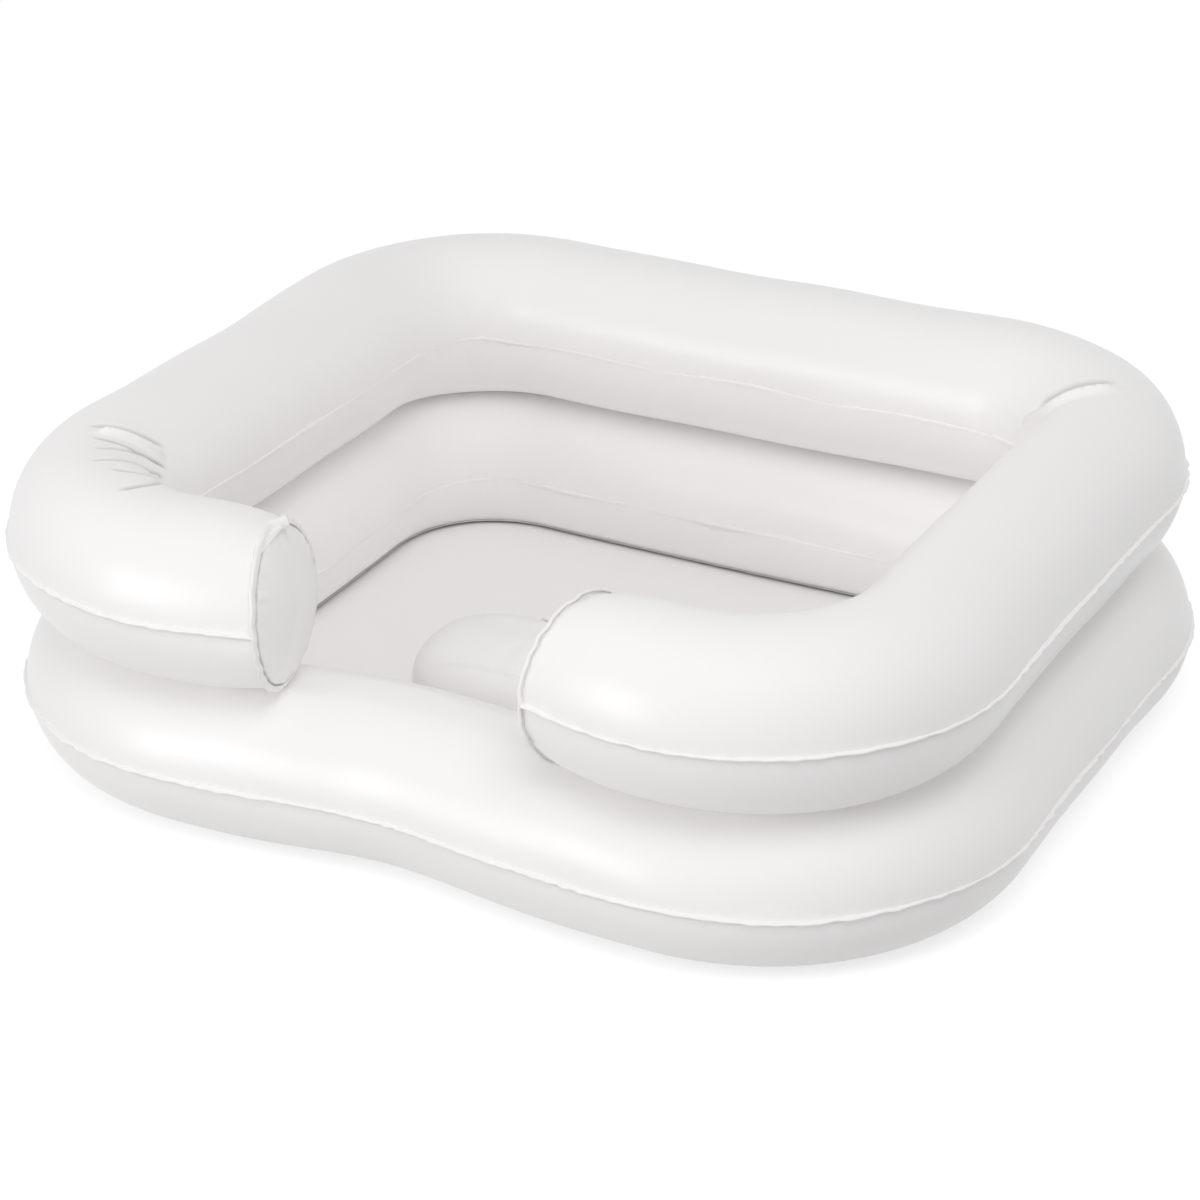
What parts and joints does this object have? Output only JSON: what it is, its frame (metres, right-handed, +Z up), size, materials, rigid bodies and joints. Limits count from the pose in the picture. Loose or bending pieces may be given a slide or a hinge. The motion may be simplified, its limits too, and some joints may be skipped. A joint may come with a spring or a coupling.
{
  "type": "portable shampoo basin",
  "caption": "Inflatable hair-washing basin: a closed lower ring, a C-shaped upper ring open at the neck, a floor film with drain, a small headrest and push-in air valves.",
  "frame": {"origin": "on the table surface under the middle of the basin's outer box", "axes": "+Z up, +X to the right of a person whose neck lies in the gap, along the longer side; the neck gap faces -Y"},
  "size_m": [0.7128, 0.648, 0.2273],
  "materials": {
    "vinyl_film": "soft satin-gloss white PVC film",
    "floor_film": "soft satin-gloss white PVC film",
    "headrest_film": "soft satin-gloss white PVC film",
    "valve_vinyl": "satin moulded white PVC",
    "drain_vinyl": "satin moulded white PVC"
  },
  "bodies": {
    "basin": {"upper_ring_top_film": "vinyl_film", "upper_ring_bottom_film": "vinyl_film", "upper_ring_left_end_panel": "vinyl_film", "upper_ring_right_end_panel": "vinyl_film", "lower_ring_top_film": "vinyl_film", "lower_ring_bottom_film": "vinyl_film", "basin_floor_film": "floor_film", "headrest_top_film": "headrest_film", "headrest_bottom_film": "headrest_film", "upper_valve_flange": "valve_vinyl", "lower_valve_flange": "valve_vinyl", "headrest_valve_flange": "valve_vinyl", "drain_collar": "drain_vinyl", "drain_elbow": "drain_vinyl"},
    "upper_stem": {"upper_valve_stem": "valve_vinyl"},
    "upper_plug": {"upper_valve_plug": "valve_vinyl"},
    "upper_flap": {"upper_valve_flap": "valve_vinyl"},
    "lower_stem": {"lower_valve_stem": "valve_vinyl"},
    "lower_plug": {"lower_valve_plug": "valve_vinyl"},
    "lower_flap": {"lower_valve_flap": "valve_vinyl"},
    "headrest_stem": {"headrest_valve_stem": "valve_vinyl"},
    "headrest_plug": {"headrest_valve_plug": "valve_vinyl"},
    "headrest_flap": {"headrest_valve_flap": "valve_vinyl"},
    "drain_plug": {"drain_plug": "drain_vinyl"}
  },
  "joints": [
    {"name": "upper_stem_slide", "type": "slide", "parent": "basin", "child": "upper_stem", "axis": [-0.0223, 0.9176, 0.3968], "range_m": [0, 0.012]},
    {"name": "upper_plug_hinge", "type": "hinge", "parent": "upper_stem", "child": "upper_plug", "pos_m": [0.13476, 0.30393, 0.19465], "axis": [0.0096, -0.3967, 0.9179], "range_deg": [0, 150]},
    {"name": "upper_flap_hinge", "type": "hinge", "parent": "upper_stem", "child": "upper_flap", "pos_m": [0.14459, 0.28612, 0.18685], "axis": [-0.0096, 0.3967, -0.9179], "range_deg": [0, 40], "stiffness_Nm_per_rad": 0.0001},
    {"name": "lower_stem_slide", "type": "slide", "parent": "basin", "child": "lower_stem", "axis": [0.0263, 0.8966, 0.442], "range_m": [0, 0.012]},
    {"name": "lower_plug_hinge", "type": "hinge", "parent": "lower_stem", "child": "lower_plug", "pos_m": [-0.1637, 0.31639, 0.08053], "axis": [-0.013, -0.4418, 0.897], "range_deg": [0, 150]},
    {"name": "lower_flap_hinge", "type": "hinge", "parent": "lower_stem", "child": "lower_flap", "pos_m": [-0.15482, 0.2985, 0.07184], "axis": [0.013, 0.4418, -0.897], "range_deg": [0, 40], "stiffness_Nm_per_rad": 0.0001},
    {"name": "headrest_stem_slide", "type": "slide", "parent": "basin", "child": "headrest_stem", "axis": [0, 0.8437, 0.5369], "range_m": [0, 0.012]},
    {"name": "headrest_plug_hinge", "type": "hinge", "parent": "headrest_stem", "child": "headrest_plug", "pos_m": [-0.028, -0.04809, 0.08257], "axis": [0, -0.5369, 0.8437], "range_deg": [0, 150]},
    {"name": "headrest_flap_hinge", "type": "hinge", "parent": "headrest_stem", "child": "headrest_flap", "pos_m": [-0.0186, -0.06467, 0.07202], "axis": [0, 0.5369, -0.8437], "range_deg": [0, 40], "stiffness_Nm_per_rad": 0.0001},
    {"name": "drain_plug_hinge", "type": "hinge", "parent": "basin", "child": "drain_plug", "pos_m": [0.145, -0.105, 0.01269], "axis": [0, -1, 0], "range_deg": [0, 150]}
  ]
}
